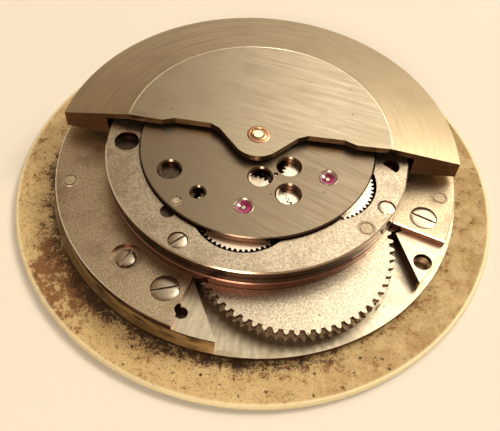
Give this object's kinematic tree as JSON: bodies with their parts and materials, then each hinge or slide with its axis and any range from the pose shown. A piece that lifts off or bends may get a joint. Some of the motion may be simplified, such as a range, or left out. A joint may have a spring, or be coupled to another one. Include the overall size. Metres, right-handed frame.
{
  "type": "mechanical watch movement",
  "caption": "Automatic watch movement lying on its dial: main plate with bridges, gear train, mainspring barrel, balance, keyless work and a turning half-disc winding rotor.",
  "frame": {"origin": "on the movement's centre axis, in the plane of the dial's face", "axes": "+Z from the dial's face up to the rotor, +X out along the winding stem's bore, +Y to the balance's side"},
  "size_m": [0.0304, 0.0304, 0.0059],
  "materials": {
    "dial_metal": "tarnished gilt, bright rim",
    "frosted_steel": "frosted nickel plate, light stains",
    "brushed_bridge": "straight brushed",
    "plate_metal": "nickel-plated brass, worn side",
    "bridge_metal": "frosted nickel plate",
    "rotor_thin": "straight brushed",
    "rotor_heavy": "round brushed",
    "copper_bush": "polished copper alloy",
    "polished_screws": "polished",
    "polished_steel": "polished",
    "gilt_wheels": "polished",
    "spring_steel": "polished",
    "ruby": "polished synthetic ruby"
  },
  "bodies": {
    "movement": {"main_plate": "plate_metal", "dial": "dial_metal", "centre_tube": "polished_steel", "train_jewels": "ruby", "pallet_bridge": "bridge_metal", "hairspring": "spring_steel", "hairspring_stud": "polished_steel", "balance_cock": "bridge_metal", "shock_setting": "polished_steel", "train_bridge": "bridge_metal", "barrel_bridge": "bridge_metal", "bridge_screws": "polished_screws", "small_screws": "polished_screws", "steady_pins": "polished_steel", "click_spring": "polished_steel", "setting_jumper": "polished_steel", "auto_base_plate": "frosted_steel", "auto_ring_plate": "frosted_steel", "auto_bridge": "brushed_bridge", "auto_jewels": "ruby", "auto_screws": "polished_screws", "rotor_bearing": "polished_steel"},
    "barrel": {"barrel_drum": "gilt_wheels", "barrel_cover": "gilt_wheels", "mainspring": "spring_steel"},
    "ratchet": {"ratchet_wheel": "polished_steel", "ratchet_screw": "polished_screws", "barrel_arbor": "polished_steel"},
    "second": {"second_wheel": "gilt_wheels", "second_pinion": "polished_steel"},
    "third": {"third_wheel": "gilt_wheels", "third_pinion": "polished_steel"},
    "fourth": {"fourth_wheel": "gilt_wheels", "fourth_pinion": "polished_steel"},
    "escape": {"escape_wheel": "gilt_wheels"},
    "pallet": {"pallet_fork": "polished_steel", "pallet_stones": "ruby"},
    "balance": {"balance_wheel": "gilt_wheels", "balance_staff": "polished_steel"},
    "rotor": {"rotor_plate": "rotor_thin", "rotor_weight": "rotor_heavy", "rotor_bushing": "copper_bush", "rotor_wheel": "polished_steel"},
    "regulator": {"regulator": "polished_steel"},
    "click": {"click": "polished_steel"},
    "crown_wheel": {"crown_wheel": "polished_steel"},
    "winding_pinion": {"winding_pinion": "polished_steel"},
    "clutch_wheel": {"clutch_wheel": "polished_steel"},
    "yoke": {"yoke": "polished_steel"},
    "setting_lever": {"setting_lever": "polished_steel"},
    "cannon_pinion": {"cannon_pinion": "polished_steel"},
    "minute_wheel": {"minute_wheel": "gilt_wheels"},
    "hour_wheel": {"hour_wheel": "gilt_wheels"},
    "setting_wheel": {"setting_wheel": "polished_steel"},
    "reverser_wheel_1": {"reverser_wheel_1": "gilt_wheels"},
    "reverser_wheel_2": {"reverser_wheel_2": "gilt_wheels"},
    "reverser_pinion_1": {"reverser_pinion_1": "polished_steel"},
    "reverser_pinion_2": {"reverser_pinion_2": "polished_steel"},
    "reduction_wheel": {"reduction_wheel": "gilt_wheels"},
    "driving_wheel": {"driving_wheel": "gilt_wheels"}
  },
  "joints": [
    {"name": "seconds_spin", "type": "hinge", "parent": "movement", "child": "fourth", "pos_m": [0, 0, 0.00145], "axis": [0, 0, 1], "continuous": true},
    {"name": "third_spin", "type": "hinge", "parent": "movement", "child": "third", "pos_m": [-0.00316, 0.00126, 0.00112], "axis": [0, 0, 1], "continuous": true},
    {"name": "second_spin", "type": "hinge", "parent": "movement", "child": "second", "pos_m": [-0.0033, -0.00301, 0.00162], "axis": [0, 0, 1], "continuous": true},
    {"name": "barrel_spin", "type": "hinge", "parent": "movement", "child": "barrel", "pos_m": [0.0024, -0.00593, 0.0011], "axis": [0, 0, 1], "continuous": true},
    {"name": "escape_spin", "type": "hinge", "parent": "movement", "child": "escape", "pos_m": [0.0026, 0.00203, 0.00124], "axis": [0, 0, 1], "continuous": true},
    {"name": "cannon_spin", "type": "hinge", "parent": "movement", "child": "cannon_pinion", "pos_m": [0, 0, 0.0007], "axis": [0, 0, 1], "continuous": true},
    {"name": "minute_wheel_spin", "type": "hinge", "parent": "movement", "child": "minute_wheel", "pos_m": [0.00295, 0.0017, 0.0006], "axis": [0, 0, 1], "continuous": true},
    {"name": "hour_spin", "type": "hinge", "parent": "movement", "child": "hour_wheel", "pos_m": [0, 0, 0.00048], "axis": [0, 0, 1], "continuous": true},
    {"name": "setting_wheel_spin", "type": "hinge", "parent": "movement", "child": "setting_wheel", "pos_m": [0.00605, 0, 0.0006], "axis": [0, 0, 1], "continuous": true},
    {"name": "ratchet_spin", "type": "hinge", "parent": "movement", "child": "ratchet", "pos_m": [0.0024, -0.00593, 0.0021], "axis": [0, 0, 1], "continuous": true},
    {"name": "crown_wheel_spin", "type": "hinge", "parent": "movement", "child": "crown_wheel", "pos_m": [0.00715, 0, 0.0021], "axis": [0, 0, 1], "continuous": true},
    {"name": "winding_pinion_spin", "type": "hinge", "parent": "movement", "child": "winding_pinion", "pos_m": [0.00895, 0, 0.00135], "axis": [1, 0, 0], "continuous": true},
    {"name": "driving_spin", "type": "hinge", "parent": "movement", "child": "driving_wheel", "pos_m": [0.00295, 0.00035, 0.0027], "axis": [0, 0, 1], "continuous": true},
    {"name": "reduction_spin", "type": "hinge", "parent": "movement", "child": "reduction_wheel", "pos_m": [0.00116, -0.00249, 0.0025], "axis": [0, 0, 1], "continuous": true},
    {"name": "reverser_pinion_1_spin", "type": "hinge", "parent": "movement", "child": "reverser_pinion_1", "pos_m": [-0.00059, -0.00498, 0.0025], "axis": [0, 0, 1], "continuous": true},
    {"name": "reverser_pinion_2_spin", "type": "hinge", "parent": "movement", "child": "reverser_pinion_2", "pos_m": [0.00421, -0.00251, 0.0025], "axis": [0, 0, 1], "continuous": true},
    {"name": "rotor_spin", "type": "hinge", "parent": "movement", "child": "rotor", "pos_m": [0, 0, 0.0044], "axis": [0, 0, 1], "continuous": true},
    {"name": "reverser_1_spin", "type": "hinge", "parent": "movement", "child": "reverser_wheel_1", "pos_m": [-0.00059, -0.00498, 0.0032], "axis": [0, 0, 1], "continuous": true},
    {"name": "reverser_2_spin", "type": "hinge", "parent": "movement", "child": "reverser_wheel_2", "pos_m": [0.00421, -0.00251, 0.0032], "axis": [0, 0, 1], "continuous": true},
    {"name": "balance_swing", "type": "hinge", "parent": "movement", "child": "balance", "pos_m": [0.0009, 0.0072, 0.0017], "axis": [0, 0, 1], "range_deg": [-270, 270], "stiffness_Nm_per_rad": 0.00000018},
    {"name": "pallet_swing", "type": "hinge", "parent": "movement", "child": "pallet", "pos_m": [0.00215, 0.0046, 0.00138], "axis": [0, 0, 1], "range_deg": [-5, 5]},
    {"name": "regulator_pivot", "type": "hinge", "parent": "movement", "child": "regulator", "pos_m": [0.0009, 0.0072, 0.00263], "axis": [0, 0, 1], "range_deg": [-10, 10]},
    {"name": "click_pivot", "type": "hinge", "parent": "movement", "child": "click", "pos_m": [0.00801, -0.00256, 0.0021], "axis": [0, 0, 1], "range_deg": [0, 6], "stiffness_Nm_per_rad": 0.000002, "springref_deg": -11.46},
    {"name": "clutch_slide", "type": "slide", "parent": "movement", "child": "clutch_wheel", "axis": [1, 0, 0], "range_m": [-0.0003, 0]},
    {"name": "yoke_pivot", "type": "hinge", "parent": "movement", "child": "yoke", "pos_m": [0.0077, 0.003, 0.00066], "axis": [0, 0, 1], "range_deg": [-6.5, 0]},
    {"name": "setting_lever_pivot", "type": "hinge", "parent": "movement", "child": "setting_lever", "pos_m": [0.0103, -0.0015, 0.00066], "axis": [0, 0, 1], "range_deg": [-6.5, 0]}
  ],
  "couplings": [
    {"joint": "third_spin", "follows": "seconds_spin", "ratio": -0.13333},
    {"joint": "second_spin", "follows": "seconds_spin", "ratio": 0.016667},
    {"joint": "barrel_spin", "follows": "seconds_spin", "ratio": -0.002381},
    {"joint": "escape_spin", "follows": "seconds_spin", "ratio": -10},
    {"joint": "cannon_spin", "follows": "seconds_spin", "ratio": 0.016667},
    {"joint": "minute_wheel_spin", "follows": "seconds_spin", "ratio": -0.0055556},
    {"joint": "hour_spin", "follows": "seconds_spin", "ratio": 0.0013889},
    {"joint": "setting_wheel_spin", "follows": "seconds_spin", "ratio": 0.014286},
    {"joint": "crown_wheel_spin", "follows": "ratchet_spin", "ratio": -3.1},
    {"joint": "winding_pinion_spin", "follows": "ratchet_spin", "ratio": 4.4286},
    {"joint": "driving_spin", "follows": "ratchet_spin", "ratio": -10.333},
    {"joint": "reduction_spin", "follows": "ratchet_spin", "ratio": 35.255},
    {"joint": "reverser_pinion_1_spin", "follows": "ratchet_spin", "ratio": -211.53},
    {"joint": "reverser_pinion_2_spin", "follows": "ratchet_spin", "ratio": -211.53},
    {"joint": "reverser_1_spin", "follows": "rotor_spin", "ratio": -0.85714},
    {"joint": "reverser_2_spin", "follows": "rotor_spin", "ratio": 0.85714},
    {"joint": "yoke_pivot", "follows": "clutch_slide", "rad_per_m": 370},
    {"joint": "setting_lever_pivot", "follows": "clutch_slide", "rad_per_m": 349.07}
  ]
}
